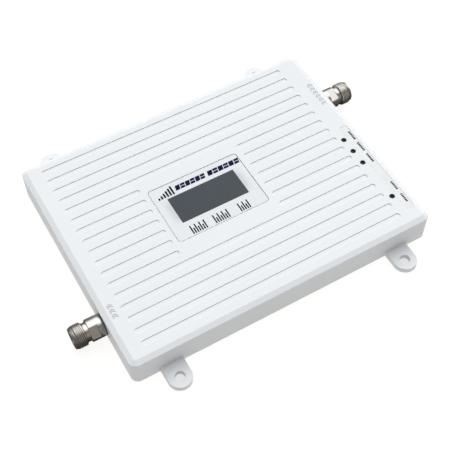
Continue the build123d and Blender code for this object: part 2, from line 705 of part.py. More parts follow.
def make_board_screws():
    head_z = BOARD_Z0 - BOARD_HEAD_H
    head = round_bottom(rod(BOARD_HEAD_R, head_z, BOARD_Z0), BOARD_HEAD_EDGE_R)
    screw = head + rod(SCREW_R, BOARD_Z0, BOARD_SCREW_END)
    screw -= Pos(0, 0, head_z) * cross_recess(1.4, 1.0)
    return group(Pos(x, y) * screw for x, y in BOARD_SCREWS)


def make_shield_can(x):
    can = prism(CAN_L, CAN_W, CAN_R, BOARD_TOP, BOARD_TOP + CAN_H, x, CAN_Y)
    can -= prism(CAN_L - 2 * CAN_SHEET, CAN_W - 2 * CAN_SHEET, CAN_R - CAN_SHEET,
                 BOARD_TOP - THROUGH, BOARD_TOP + CAN_H - CAN_SHEET, x, CAN_Y)
    return can


def make_thermal_pad(x):
    return block(PEDESTAL_L - PAD_INSET, PEDESTAL_W - PAD_INSET, BOARD_TOP + CAN_H, PEDESTAL_Z,
                 x, PEDESTAL_Y)


def packages(places, size):
    """Equal square-cornered packages on the board's upper face."""
    length, width, height = size
    package = block(length, width, BOARD_TOP, BOARD_TOP + height)
    return group(Pos(x, y) * package for x, y in places)


def make_rf_amplifiers():
    return packages([(x, y) for x in CAN_X.values() for y in AMPLIFIER_Y], AMPLIFIER_SIZE)


def make_duplexer_filters():
    places = [(x + dx, y) for x in CAN_X.values() for dx in FILTER_X for y in FILTER_Y]
    return packages(places, FILTER_SIZE)


def make_reference_oscillator():
    length, width, height = OSCILLATOR_SIZE
    x, y = OSCILLATOR_PLACE
    can = prism(length, width, OSCILLATOR_R, BOARD_TOP, BOARD_TOP + height, x, y)
    return round_top(can, OSCILLATOR_EDGE_R)


def make_power_inductor():
    x, y = INDUCTOR_PLACE
    core = prism(INDUCTOR_SIZE, INDUCTOR_SIZE, INDUCTOR_R, BOARD_TOP, BOARD_TOP + INDUCTOR_H, x, y)
    return round_top(core, INDUCTOR_EDGE_R)


def make_filter_capacitors():
    base_z = BOARD_TOP + CAPACITOR_BASE_H
    can = round_top(rod(CAPACITOR_R, base_z, BOARD_TOP + CAPACITOR_H), CAPACITOR_EDGE_R)
    can += block(CAPACITOR_BASE, CAPACITOR_BASE, BOARD_TOP, base_z)
    return group(Pos(x, CAPACITOR_Y) * can for x in CAPACITOR_X)


# ---- power switch ----------------------------------------------------------------------------
def about_pivot(radius, width):
    """Cylinder about the rocker's pivot axis, which runs along Y."""
    return Pos(PIVOT_X, SWITCH_Y, PORT_Z) * Rot(90, 0, 0) * Cylinder(radius, width)


def make_switch_frame():
    flange = block(SWITCH_FLANGE_H, SWITCH_FLANGE_W, 0, SWITCH_FLANGE_T)
    flange = round_top(flange, SWITCH_FLANGE_EDGE_R)
    body = block(SWITCH_BODY_H, SWITCH_BODY_W, SWITCH_BACK, 0)
    frame = at_right_wall(SWITCH_Y, flange + body)
    frame -= about_pivot(ROCKER_R + ROCKER_GAP, ROCKER_SPACE_W)
    frame -= about_pivot(PIVOT_R + PIVOT_GAP, PIVOT_SPACE_W)
    slot = Box(4 * SWITCH_TAB_INSET, SWITCH_TAB_SLOT_W, SWITCH_TAB_SLOT_T)
    for z in (LOW_TAB_Z, HIGH_TAB_Z):
        frame -= Pos(BODY_L / 2 + SWITCH_BACK - SWITCH_TAB_INSET, SWITCH_Y, z) * slot
    return frame


def make_switch_rocker():
    """Vee-faced rocker, made level on its pivot and then tilted to its off position."""
    waste = 4 * ROCKER_R
    cutter = Box(waste, waste, waste)
    rocker = about_pivot(ROCKER_R, ROCKER_W)
    for z_sign in (-1, 1):
        slope = Pos(PIVOT_X + ROCKER_MID, SWITCH_Y, PORT_Z) * Rot(0, z_sign * ROCKER_TILT, 0)
        rocker -= slope * Pos(waste / 2, 0, z_sign * waste / 2) * cutter
    rocker -= Pos(PIVOT_X - ROCKER_BACK - waste / 2, SWITCH_Y, PORT_Z) * cutter
    rocker += about_pivot(PIVOT_R, PIVOT_SPACE_W - 2 * PIVOT_END_GAP)
    pivot = Axis((PIVOT_X, SWITCH_Y, PORT_Z), (0, 1, 0))
    return rocker.rotate(pivot, -ROCKER_TILT)


def make_switch_terminals():
    length = TAB_L + SWITCH_TAB_INSET
    blade = Pos(SWITCH_TAB_X + length / 2, SWITCH_Y) * Box(length, SWITCH_TAB_W, SWITCH_TAB_T)
    return group(Pos(0, 0, z) * blade for z in (LOW_TAB_Z, HIGH_TAB_Z))


# ---- power inlet -----------------------------------------------------------------------------
def make_jack_body():
    """Panel inlet: a threaded bush through the wall, a flange behind it and a moulded back."""
    flange_z = -WALL - JACK_FLANGE_T
    bush = rod(JACK_BUSH_R, flange_z, JACK_PROUD)
    bush = chamfer(bush.edges().group_by(Axis.Z)[-1], JACK_BUSH_EDGE)
    body = bush + rod(JACK_FLANGE_R, flange_z, -WALL) + rod(JACK_BODY_R, JACK_BACK, flange_z)
    body -= rod(JACK_BORE_R, JACK_PROUD - JACK_BORE_DEPTH, JACK_PROUD + THROUGH)
    body -= rod(JACK_PIN_R + JACK_PIN_GAP, JACK_BACK - THROUGH, JACK_PROUD)
    return at_right_wall(JACK_Y, body)


def make_jack_pin():
    pin = rod(JACK_PIN_R, JACK_BACK, JACK_PROUD - JACK_PIN_SINK)
    return at_right_wall(JACK_Y, round_top(pin, JACK_PIN_EDGE_R))


def make_jack_nut():
    nut = hexagon(JACK_NUT_FLATS, 0, JACK_NUT_T, JACK_BUSH_R + NUT_BORE_GAP)
    return at_right_wall(JACK_Y, Rot(0, 0, 30) * nut)


def make_jack_terminals():
    tab = Box(JACK_TAB_T, JACK_TAB_W, TAB_L)
    tabs = [Pos(x, 0, JACK_BACK - TAB_L / 2) * tab for x in (-TAB_OFFSET, TAB_OFFSET)]
    return at_right_wall(JACK_Y, group(tabs))


# ---- leads between the inlet, the switch and the board ---------------------------------------
def lead(points):
    """Insulated wire along a path with rounded bends."""
    path = FilletPolyline(*points, radius=LEAD_BEND)
    section = Plane(origin=path @ 0, z_dir=path % 0) * Circle(LEAD_R)
    return sweep(section, path=path)


def make_power_leads():
    switched = lead([(JACK_TAB_X, JACK_Y, LOW_TAB_Z), (BUS_X, JACK_Y, LOW_TAB_Z),
                     (BUS_X, SWITCH_Y, LOW_TAB_Z), (SWITCH_TAB_X, SWITCH_Y, LOW_TAB_Z)])
    inlet_lead = lead([(JACK_TAB_X, JACK_Y, HIGH_TAB_Z), (LEAD_FOOT_X, JACK_Y, HIGH_TAB_Z),
                       (LEAD_FOOT_X, JACK_Y, BOARD_TOP)])
    switch_lead = lead([(SWITCH_TAB_X, SWITCH_Y, HIGH_TAB_Z), (LEAD_FOOT_X, SWITCH_Y, HIGH_TAB_Z),
                        (LEAD_FOOT_X, SWITCH_Y, BOARD_TOP)])
    return group([switched, inlet_lead, switch_lead])


# ---- all nodes -------------------------------------------------------------------------------
nodes = {
    "housing": make_housing(),
    "bottom_cover": make_bottom_cover(),
    "cover_gasket": make_cover_gasket(),
    "cover_screws": make_cover_screws(),
    "display_plate": make_display_plate(),
    "lcd_bezel": make_lcd_bezel(),
    "lcd_glass": lcd_layer(LCD_GLASS_Z, LCD_GLASS_T),
    "lcd_backlight": lcd_layer(LCD_LIGHT_Z, LCD_LIGHT_T),
    "lcd_board": make_lcd_board(),
    "lcd_screws": make_lcd_screws(),
    "ribbon_sockets": make_ribbon_sockets(),
    "lcd_ribbon": make_lcd_ribbon(),
    "indicator_label": make_indicator_label(),
    "led_holders": make_led_holders(),
    "led_light_pipes": make_light_pipes(),
    "indicator_leds": make_indicator_leds(),
    "main_board": make_main_board(),
    "board_screws": make_board_screws(),
    "rf_amplifiers": make_rf_amplifiers(),
    "duplexer_filters": make_duplexer_filters(),
    "controller_chip": packages([CONTROLLER_PLACE], CONTROLLER_SIZE),
    "reference_oscillator": make_reference_oscillator(),
    "power_inductor": make_power_inductor(),
    "filter_capacitors": make_filter_capacitors(),
    "power_switch_frame": make_switch_frame(),
    "power_switch_rocker": make_switch_rocker(),
    "power_switch_terminals": make_switch_terminals(),
    "dc_jack_body": make_jack_body(),
    "dc_jack_pin": make_jack_pin(),
    "dc_jack_nut": make_jack_nut(),
    "dc_jack_terminals": make_jack_terminals(),
    "power_leads": make_power_leads(),
}
for side, can_x in CAN_X.items():
    turn = LEFT_FLAT_TURN if side == "outdoor" else RIGHT_FLAT_TURN
    nodes[side + "_shield_can"] = make_shield_can(can_x)
    nodes[side + "_thermal_pad"] = make_thermal_pad(can_x)
    nodes[side + "_port_shell"] = at_port(side, make_port_shell(turn))
    nodes[side + "_port_seal"] = at_port(side, make_port_seal())
    nodes[side + "_port_insulator"] = at_port(side, make_port_insulator())
    nodes[side + "_port_contact"] = at_port(side, make_port_contact())
    nodes[side + "_port_lockwasher"] = at_port(side, make_port_lockwasher())
    nodes[side + "_port_nut"] = at_port(side, make_port_nut())

for name, shape in nodes.items():
    export_step(shape, "parts/" + name + ".step")
print(len(nodes), "nodes written")
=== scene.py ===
import math
import bmesh
import bpy
from mathutils import Matrix, Vector


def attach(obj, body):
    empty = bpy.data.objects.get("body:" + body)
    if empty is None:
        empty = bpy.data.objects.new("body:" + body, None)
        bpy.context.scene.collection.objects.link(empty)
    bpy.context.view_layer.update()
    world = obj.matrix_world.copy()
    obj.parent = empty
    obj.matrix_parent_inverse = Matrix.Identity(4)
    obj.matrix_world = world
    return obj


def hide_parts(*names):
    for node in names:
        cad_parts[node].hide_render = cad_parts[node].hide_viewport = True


# Looks of the signal booster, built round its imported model, in the model's own frame. Blender works
# in metres. The sizes below are in millimetres and go through MM.

MM = 0.001
WELD = 1e-7                                                # metres
CASE = "case"
ROCKER = "rocker"

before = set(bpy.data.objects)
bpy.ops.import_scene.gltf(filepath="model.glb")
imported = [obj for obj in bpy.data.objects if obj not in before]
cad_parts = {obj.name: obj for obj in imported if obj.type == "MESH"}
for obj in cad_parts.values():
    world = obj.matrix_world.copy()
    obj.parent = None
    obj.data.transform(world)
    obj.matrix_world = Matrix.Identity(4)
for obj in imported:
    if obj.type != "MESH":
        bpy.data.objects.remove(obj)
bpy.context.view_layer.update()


# ---- coaxial ports: sizes ----------------------------------------------------------------------
# Radii, and places along the port as distances out from the wall.
WALL_X = 109.0
PORT_Y = 43.1
PORT_Z = 9.7
BODY_R = 7.5
FLAT, FLAT_STEP = 6.1, 0.02
BODY_START, FLAT_START, BODY_END = 0.6, 4.2, 10.0
BODY_EDGE = ((0.25, 0.0), (0.08, 0.08), (0.0, 0.25))       # in from the radius, on from the start
NECK_R, NECK_END = 6.3, 12.6
NECK_BLEND = 0.15
ROOT_R, CREST_R = 7.35, 7.94
PITCH = 25.4 / 24
THREAD_FROM, THREAD_TO = 13.2, 19.75
CONE_FROM, CONE_TO, CONE_R = 18.79, 20.3, 7.84
LIP_R, TIP = 7.0, 21.2
LIP_EDGE = ((0.0, 0.5), (0.02, 0.2), (0.08, 0.08), (0.25, 0.0))   # in from the radius, back from the tip
BORE_R, BORE_END = 4.2, 12.2
MOUTH_EDGE = ((0.35, 0.0), (0.1, 0.15), (0.0, 0.35))       # out from the radius, back from the tip
INSULATOR_R = 3.4
SHANK_R, SHANK_END, SHANK_EDGE = 5.5, -8.0, 0.4
CONE_SLOPE = (CONE_R - LIP_R) / (TIP - LIP_EDGE[0][1] - CONE_FROM)
NECK_SLOPE = (ROOT_R - NECK_R) / (THREAD_FROM - NECK_END)
# Each point of one thread turn: place along the pitch, and height from root (0) to crest (1).
THREAD_PHASES = ((0.0, 0.0), (0.19, 0.5), (0.38, 1.0), (0.54, 1.0), (0.73, 0.5), (0.92, 0.0))
THREAD_COILS = range(-1, 7)
PORT_COLUMNS = 120
# The painted shade in the thread's roots reaches this far out from the root radius; the thread's painted
# highlight and shade fade in over this length at its ends.
ROOT_PAINTED_SHADE = 0.35
THREAD_PAINT_FADE = 0.2
OUTDOOR_FLAT, INDOOR_FLAT = -53.0, 22.0                    # degrees from +Z to one wrench flat


# ---- materials ---------------------------------------------------------------------------------
class Shader:
    """Principled material with small helpers for its nodes."""

    def __init__(self, name, color, roughness, metallic=0.0, **sockets):
        self.material = bpy.data.materials.new(name)
        self.material.use_nodes = True
        self.tree = self.material.node_tree
        self.bsdf = self.tree.nodes["Principled BSDF"]
        self.bsdf.inputs["Base Color"].default_value = (*color, 1)
        self.bsdf.inputs["Roughness"].default_value = roughness
        self.bsdf.inputs["Metallic"].default_value = metallic
        for socket, value in sockets.items():
            self.bsdf.inputs[socket.replace("_", " ")].default_value = value
        self.color = color
        self.roughness = roughness
        self.place = self.add("ShaderNodeTexCoord").outputs["Object"]

    def add(self, kind, **settings):
        node = self.tree.nodes.new(kind)
        for name, value in settings.items():
            setattr(node, name, value)
        return node

    def link(self, source, target):
        self.tree.links.new(source, target)

    def noise(self, scale, detail=3.0, stretch=(1, 1, 1)):
        """Noise in the model's frame; scale is in features per metre."""
        mapping = self.add("ShaderNodeMapping")
        mapping.inputs["Scale"].default_value = stretch
        self.link(self.place, mapping.inputs["Vector"])
        node = self.add("ShaderNodeTexNoise")
        node.inputs["Scale"].default_value = scale
        node.inputs["Detail"].default_value = detail
        self.link(mapping.outputs["Vector"], node.inputs["Vector"])
        return node.outputs["Fac"]

    def remap(self, source, low, high, start=0.3, stop=0.7):
        node = self.add("ShaderNodeMapRange")
        node.inputs["From Min"].default_value = start
        node.inputs["From Max"].default_value = stop
        node.inputs["To Min"].default_value = low
        node.inputs["To Max"].default_value = high
        self.link(source, node.inputs["Value"])
        return node.outputs["Result"]

    def mix(self, factor, first, second):
        node = self.add("ShaderNodeMix", data_type="RGBA")
        for socket, value in ((node.inputs[6], first), (node.inputs[7], second)):
            if isinstance(value, tuple):
                socket.default_value = (*value, 1)
            else:
                self.link(value, socket)
        self.link(factor, node.inputs[0])
        return node.outputs[2]

    def math(self, operation, first, second=None):
        node = self.add("ShaderNodeMath", operation=operation)
        self.link(first, node.inputs[0])
        if isinstance(second, float):
            node.inputs[1].default_value = second
        elif second is not None:
            self.link(second, node.inputs[1])
        return node.outputs["Value"]

    def multiply(self, first, second):
        return self.math("MULTIPLY", first, second)

    def mottle(self, scale, amount, stretch=(1, 1, 1)):
        """Slow colour drift of a few per cent."""
        dark = tuple(c * (1 - amount) for c in self.color)
        light = tuple(min(1.0, c * (1 + amount)) for c in self.color)
        mixed = self.mix(self.remap(self.noise(scale, 4.0, stretch), 0, 1), dark, light)
        self.link(mixed, self.bsdf.inputs["Base Color"])
        return mixed

    def vary_roughness(self, scale, amount, stretch=(1, 1, 1)):
        low, high = self.roughness - amount, self.roughness + amount
        self.link(self.remap(self.noise(scale, 3.0, stretch), low, high), self.bsdf.inputs["Roughness"])

    def bump(self, height, depth, strength=1.0):
        """Bump of this depth in metres; bumps chain."""
        node = self.add("ShaderNodeBump")
        node.inputs["Strength"].default_value = strength
        node.inputs["Distance"].default_value = depth
        self.link(height, node.inputs["Height"])
        normal = self.bsdf.inputs["Normal"]
        if normal.is_linked:
            self.link(normal.links[0].from_socket, node.inputs["Normal"])
        self.link(node.outputs["Normal"], normal)


def powder_coat():
    coat = Shader("white_powder_coat", (0.70, 0.72, 0.735), 0.48, Specular_IOR_Level=0.12)
    coat.mottle(14, 0.012)
    coat.vary_roughness(260, 0.05)
    coat.bump(coat.noise(1100, 2.0), 0.00004, 0.55)
    coat.bump(coat.noise(5200, 1.0), 0.00001, 0.5)
    return coat.material


def metal(name, color, roughness, axis_stretch, scale=60, depth=0.00001, drift=0.05):
    """Machined metal whose fine marks run across the stretched axis."""
    made = Shader(name, color, roughness, 1.0)
    made.mottle(90, drift)
    made.vary_roughness(scale, 0.06, axis_stretch)
    made.bump(made.noise(scale, 3.0, axis_stretch), depth, 0.5)
    return made.material


def plastic(name, color, roughness, grain=2600, depth=0.00002, **sockets):
    made = Shader(name, color, roughness, 0.0, **sockets)
    made.mottle(120, 0.04)
    made.vary_roughness(700, 0.05)
    made.bump(made.noise(grain, 2.0), depth, 0.5)
    return made.material


def circuit_board():
    """Green solder mask with faint tracks under it."""
    board = Shader("board_mask", (0.02, 0.17, 0.07), 0.32)
    tracks = board.add("ShaderNodeTexVoronoi", feature="DISTANCE_TO_EDGE", distance="CHEBYCHEV")
    tracks.inputs["Scale"].default_value = 260
    board.link(board.place, tracks.inputs["Vector"])
    edge = board.remap(tracks.outputs["Distance"], 1, 0, 0.04, 0.08)
    board.link(board.mix(edge, (0.015, 0.13, 0.05), (0.05, 0.28, 0.12)), board.bsdf.inputs["Base Color"])
    board.bump(edge, 0.00003, 0.6)
    return board.material


def nickel_with_painted_thread_light():
    """Nickel plate; the port's thread has lighter metal on it as a painted highlight and a dull, near-black
    painted shade in its roots.
    """
    made = Shader("port_nickel", (0.38, 0.367, 0.35), 0.27, 1.0)
    axes = made.add("ShaderNodeSeparateXYZ")
    made.link(made.place, axes.inputs["Vector"])
    along = made.math("ABSOLUTE", axes.outputs["X"])
    across = made.math("SUBTRACT", made.math("ABSOLUTE", axes.outputs["Y"]), PORT_Y * MM)
    up = made.math("SUBTRACT", axes.outputs["Z"], PORT_Z * MM)
    square = made.math("ADD", made.math("POWER", across, 2.0), made.math("POWER", up, 2.0))
    radius = made.math("SQRT", square)
    root_shade_mask = made.remap(radius, 1, 0, ROOT_R * MM, (ROOT_R + ROOT_PAINTED_SHADE) * MM)
    first, last = WALL_X + THREAD_FROM, WALL_X + CONE_FROM
    start = made.remap(along, 0, 1, first * MM, (first + THREAD_PAINT_FADE) * MM)
    stop = made.remap(along, 1, 0, last * MM, (last + THREAD_PAINT_FADE) * MM)
    outside = made.remap(radius, 0, 1, NECK_R * MM, ROOT_R * MM)
    threaded = made.multiply(outside, made.multiply(start, stop))
    # Painted shade: near-black, rougher colour in the thread's roots.
    film = made.multiply(root_shade_mask, threaded)
    # Painted highlight: lighter metal over the thread.
    painted_thread_highlight = made.mix(threaded, made.mottle(90, 0.05), (0.70, 0.67, 0.63))
    made.link(made.mix(film, painted_thread_highlight, (0.016, 0.014, 0.012)), made.bsdf.inputs["Base Color"])
    made.link(made.remap(film, made.roughness, 0.5, 0, 1), made.bsdf.inputs["Roughness"])
    made.bump(made.noise(60, 3.0, (60, 1, 1)), 0.00001, 0.5)
    return made.material


WHITE = powder_coat()
NICKEL = metal("nickel_plate", (0.38, 0.367, 0.35), 0.27, (60, 1, 1))
PORT_NICKEL = nickel_with_painted_thread_light()
STEEL = metal("zinc_steel", (0.58, 0.60, 0.62), 0.32, (1, 1, 6))
TIN = metal("tin_plate", (0.62, 0.62, 0.60), 0.38, (1, 6, 1))
GOLD = metal("gold_plate", (0.86, 0.62, 0.24), 0.2, (60, 1, 1))
COVER = metal("cover_aluminium", (0.70, 0.71, 0.72), 0.36, (1, 60, 1), 40, 0.00003, 0.01)
CAN = metal("capacitor_can", (0.72, 0.72, 0.74), 0.3, (1, 1, 6))
RUBBER = plastic("black_rubber", (0.012, 0.012, 0.013), 0.62)
BLACK = plastic("black_plastic", (0.005, 0.005, 0.006), 0.4, Specular_IOR_Level=0.2)
SWITCH = plastic("switch_plastic", (0.014, 0.014, 0.015), 0.42)
ROCKER_BLACK = plastic("rocker_plastic", (0.016, 0.016, 0.018), 0.24, Coat_Weight=0.2)
SMOKED = plastic("smoked_lens", (0.02, 0.02, 0.022), 0.3, Specular_IOR_Level=0.3)
BOARD = circuit_board()
CHIP = plastic("chip_plastic", (0.02, 0.02, 0.022), 0.5)
FERRITE = plastic("ferrite", (0.05, 0.05, 0.055), 0.6)
CERAMIC = plastic("filter_ceramic", (0.62, 0.60, 0.55), 0.4)
PTFE = plastic("white_ptfe", (0.80, 0.80, 0.77), 0.4, Subsurface_Weight=0.1)
CONNECTOR = plastic("connector_plastic", (0.74, 0.70, 0.58), 0.45)
RIBBON = plastic("ribbon_film", (0.55, 0.30, 0.06), 0.35)
LIGHT_GUIDE = plastic("light_guide", (0.78, 0.80, 0.82), 0.3)
PACKAGE = plastic("led_package", (0.80, 0.76, 0.50), 0.3)
PAD = plastic("thermal_silicone", (0.30, 0.34, 0.42), 0.7)
WIRE = plastic("lead_insulation", (0.35, 0.012, 0.01), 0.36)
GLASS = plastic("lcd_glass", (0.060, 0.072, 0.082), 0.12, Coat_Weight=0.6)
ACRYLIC = plastic("display_acrylic", (0.70, 0.73, 0.75), 0.14, grain=300, depth=0.00001, Coat_Weight=0.4)
LABEL = plastic("label_film", (0.69, 0.705, 0.715), 0.5, Specular_IOR_Level=0.25)
NAVY = plastic("navy_ink", (0.002, 0.002, 0.040), 0.5, Specular_IOR_Level=0.05)
SLATE = plastic("slate_ink", (0.007, 0.008, 0.016), 0.5, Specular_IOR_Level=0.05)
BLACK_INK = plastic("black_ink", (0.008, 0.008, 0.010), 0.5, Specular_IOR_Level=0.05)
WHITE_INK = plastic("white_ink", (0.62, 0.63, 0.64), 0.5, Specular_IOR_Level=0.2)
GREY_INK = plastic("grey_ink", (0.30, 0.315, 0.325), 0.5, Specular_IOR_Level=0.2)

NODE_LOOKS = {
    "housing": WHITE, "bottom_cover": COVER, "cover_gasket": RUBBER, "cover_screws": STEEL,
    "display_plate": ACRYLIC, "lcd_bezel": STEEL, "lcd_glass": GLASS, "lcd_backlight": LIGHT_GUIDE,
    "lcd_board": BOARD, "lcd_screws": STEEL, "ribbon_sockets": CONNECTOR, "lcd_ribbon": RIBBON,
    "indicator_label": LABEL, "led_holders": BLACK, "led_light_pipes": SMOKED,
    "indicator_leds": PACKAGE, "main_board": BOARD, "board_screws": STEEL, "rf_amplifiers": CHIP,
    "duplexer_filters": CERAMIC, "controller_chip": CHIP, "reference_oscillator": TIN,
    "power_inductor": FERRITE, "filter_capacitors": CAN, "power_switch_frame": SWITCH,
    "power_switch_rocker": ROCKER_BLACK, "power_switch_terminals": TIN, "dc_jack_body": BLACK,
    "dc_jack_pin": NICKEL, "dc_jack_nut": NICKEL, "dc_jack_terminals": TIN, "power_leads": WIRE,
}
for side in ("outdoor", "indoor"):
    NODE_LOOKS[side + "_shield_can"] = TIN
    NODE_LOOKS[side + "_thermal_pad"] = PAD
    NODE_LOOKS[side + "_port_shell"] = NICKEL
    NODE_LOOKS[side + "_port_seal"] = RUBBER
    NODE_LOOKS[side + "_port_insulator"] = PTFE
    NODE_LOOKS[side + "_port_contact"] = GOLD
    NODE_LOOKS[side + "_port_lockwasher"] = NICKEL
    NODE_LOOKS[side + "_port_nut"] = NICKEL

for node, look in NODE_LOOKS.items():
    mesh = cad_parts[node].data
    mesh.materials.clear()
    mesh.materials.append(look)


# ---- mesh helpers ------------------------------------------------------------------------------
def piece(name, verts, faces, look, body, crease=35):
    """New object from points in millimetres in the model's frame; edges over crease degrees stay sharp."""
    mesh = bpy.data.meshes.new(name)
    mesh.from_pydata([Vector(v) * MM for v in verts], [], faces)
    bm = bmesh.new()
    bm.from_mesh(mesh)
    bmesh.ops.remove_doubles(bm, verts=bm.verts, dist=WELD)
    bmesh.ops.dissolve_degenerate(bm, edges=bm.edges, dist=WELD)
    bmesh.ops.recalc_face_normals(bm, faces=bm.faces)
    bm.to_mesh(mesh)
    bm.free()
    mesh.shade_smooth()
    mesh.set_sharp_from_angle(angle=math.radians(crease))
    mesh.materials.append(look)
    made = bpy.data.objects.new(name, mesh)
    bpy.context.scene.collection.objects.link(made)
    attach(made, body)
    return made


def round_rect(x0, x1, y0, y1, radius, steps=4):
    """Points round a rounded rectangle, anticlockwise."""
    radius = min(radius, (x1 - x0) / 2, (y1 - y0) / 2)
    points = []
    for cx, cy, start in ((x1 - radius, y1 - radius, 0), (x0 + radius, y1 - radius, 90),
                          (x0 + radius, y0 + radius, 180), (x1 - radius, y0 + radius, 270)):
        for step in range(steps + 1):
            angle = math.radians(start + 90 * step / steps)
            points.append((cx + radius * math.cos(angle), cy + radius * math.sin(angle)))
    return points


class Prints:
    """Thin flat marks that make up one printed piece."""

    def __init__(self, z0, z1):
        self.z0, self.z1 = z0, z1
        self.verts, self.faces = [], []

    def solid(self, outline):
        """Filled convex mark."""
        n, base = len(outline), len(self.verts)
        self.verts += [(x, y, self.z0) for x, y in outline] + [(x, y, self.z1) for x, y in outline]
        self.faces.append([base + n + i for i in range(n)])
        self.faces.append([base + i for i in reversed(range(n))])
        for i in range(n):
            j = (i + 1) % n
            self.faces.append([base + i, base + j, base + n + j, base + n + i])

    def ring(self, outer, inner):
        """Mark between two outlines with equal numbers of points."""
        n, base = len(outer), len(self.verts)
        for z in (self.z0, self.z1):
            self.verts += [(x, y, z) for x, y in outer] + [(x, y, z) for x, y in inner]
        low_out, low_in, top_out, top_in = base, base + n, base + 2 * n, base + 3 * n
        for i in range(n):
            j = (i + 1) % n
            self.faces.append([top_out + i, top_out + j, top_in + j, top_in + i])
            self.faces.append([low_out + j, low_out + i, low_in + i, low_in + j])
            self.faces.append([low_out + i, low_out + j, top_out + j, top_out + i])
            self.faces.append([low_in + j, low_in + i, top_in + i, top_in + j])

    def bar(self, x0, x1, y0, y1, radius=0.2):
        self.solid(round_rect(x0, x1, y0, y1, radius))

    def slanted(self, x, width, y0, y1, foot, slant):
        """Block whose sides lean to the right above foot."""
        low, high = x + slant * (y0 - foot), x + slant * (y1 - foot)
        self.solid([(low, y0), (low + width, y0), (high + width, y1), (high, y1)])

    def chevron(self, x, y, half, rise, stroke):
        """Arrow head that points along +Y, from two leaning strokes."""
        for side in (-1, 1):
            tip, foot = (x, y + rise), (x + side * half, y)
            outline = [tip, foot, (foot[0], foot[1] + stroke), (tip[0], tip[1] + stroke)]
            self.solid(outline if side < 0 else outline[::-1])

    def make(self, name, look, body=CASE, place=None):
        verts = [place(*v) for v in self.verts] if place else self.verts
        return piece(name, verts, self.faces, look, body)


# ---- coaxial ports -----------------------------------------------------------------------------
def thread_rows(turn):
    """Rows of the helical thread at one angle, given as a fraction of a turn: (radius, height)."""
    rows = [(ROOT_R, THREAD_FROM)]
    for coil in THREAD_COILS:
        for phase, lift in THREAD_PHASES:
            z = THREAD_FROM + PITCH * (coil + phase + turn)
            z = min(max(z, THREAD_FROM), THREAD_TO)
            radius = ROOT_R + (CREST_R - ROOT_R) * lift
            runout = NECK_R + (z - NECK_END) * NECK_SLOPE
            cone = CONE_R + (CONE_FROM - z) * CONE_SLOPE
            radius = min(radius, runout, cone)
            rows.append((radius, z))
    return rows


def shell_column(turn, flat_angle):
    """The port shell's whole outline at one angle."""
    from_flat = abs((turn * 360 - flat_angle + 90) % 180 - 90)
    cosine = math.cos(math.radians(from_flat))
    flat = FLAT / cosine if BODY_R * cosine > FLAT else BODY_R
    bevel = BODY_EDGE[0][0]
    rows = [(INSULATOR_R, SHANK_END), (SHANK_R - SHANK_EDGE, SHANK_END), (SHANK_R, SHANK_END + SHANK_EDGE),
            (SHANK_R, BODY_START)]
    rows += [(BODY_R - inward, BODY_START + onward) for inward, onward in BODY_EDGE]
    rows += [(BODY_R, FLAT_START), (flat, FLAT_START + FLAT_STEP), (flat, BODY_END - bevel),
             (min(flat, BODY_R - bevel), BODY_END), (NECK_R + NECK_BLEND, BODY_END),
             (NECK_R, BODY_END + NECK_BLEND), (NECK_R, NECK_END)]
    rows += thread_rows(turn)
    rows.append((CONE_R + (CONE_FROM - CONE_TO) * CONE_SLOPE, CONE_TO))
    rows += [(LIP_R - inward, TIP - back) for inward, back in LIP_EDGE]
    rows += [(BORE_R + outward, TIP - back) for outward, back in MOUTH_EDGE]
    rows += [(BORE_R, BORE_END), (INSULATOR_R, BORE_END), (INSULATOR_R, SHANK_END)]
    return rows


def port_shell(side, flat_angle):
    """Shell with wrench flats, neck, helical thread and tapered nose, in place at its wall."""
    half = math.degrees(math.acos(FLAT / BODY_R))          # from a flat's middle to its edge
    turns = [column / PORT_COLUMNS for column in range(PORT_COLUMNS + 1)]
    for centre in (flat_angle, flat_angle + 180):
        for edge in (centre - half, centre + half):
            turns.append((edge % 360) / 360)
    turns.sort()
    sign = -1 if side == "outdoor" else 1
    verts, faces = [], []
    for turn in turns:
        angle = math.radians(turn * 360)
        for radius, z in shell_column(turn, flat_angle):
            verts.append((sign * (WALL_X + z), sign * PORT_Y - radius * math.sin(angle) * sign,
                          PORT_Z + radius * math.cos(angle)))
    rows = len(verts) // len(turns)
    for column in range(len(turns) - 1):
        for row in range(rows - 1):
            a = column * rows + row
            faces.append((a, a + 1, a + rows + 1, a + rows))
    shell = piece(side + "_port_shell_threaded", verts, faces, PORT_NICKEL, CASE, 28)
    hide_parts(side + "_port_shell")
    return shell


PORT_SHELLS = [port_shell("outdoor", OUTDOOR_FLAT), port_shell("indoor", INDOOR_FLAT)]


# ---- display -----------------------------------------------------------------------------------
PLATE = (-42.4, 24.8, -20.5, 25.1)
PLATE_TOP = 21.2
PLATE_CORNER = 1.9
WINDOW = (-33.4, 16.6, -8.25, 13.8)
WINDOW_CORNER = 0.15
FILM_T = 0.06
FILM_INSET = 0.2
CELL_T = 0.02
CELL_LAP = 0.1
INK_T = 0.03
SINK, INK_SINK = 0.01, 0.005                               # how far a layer reaches into what it lies on
# The painted shade round the window is full this close to it and fades out at this reach.
SHADE_BAND_REACH = 6.0 * MM
SHADE_BAND_CORE = 1.0 * MM
TITLE_Y = (17.0, 21.1)
TITLE_GROUPS = ((-24.9, 3.8), (-0.3, 4.1))                 # start and pitch of each group
TITLE_BLOCKS = 6
TITLE_GAP = 0.5
TITLE_SLIT = 0.4
TITLE_SLANT = 0.22
RISING_X, RISING_Y = -38.6, 15.2
RISING_BARS = 6
RISING_PITCH, RISING_W = 2.15, 1.35
RISING_FIRST, RISING_STEP = 1.7, 1.15
RISING_CORNER, TICK_CORNER = 0.3, 0.15
TICK_ROWS = ((-31.4, 7), (-14.5, 7), (4.3, 5))             # start of each row and number of ticks
TICK_PITCH, TICK_W = 1.65, 0.95
TICK_Y, TICK_LONG, TICK_SHORT = -19.5, 7.1, 4.4


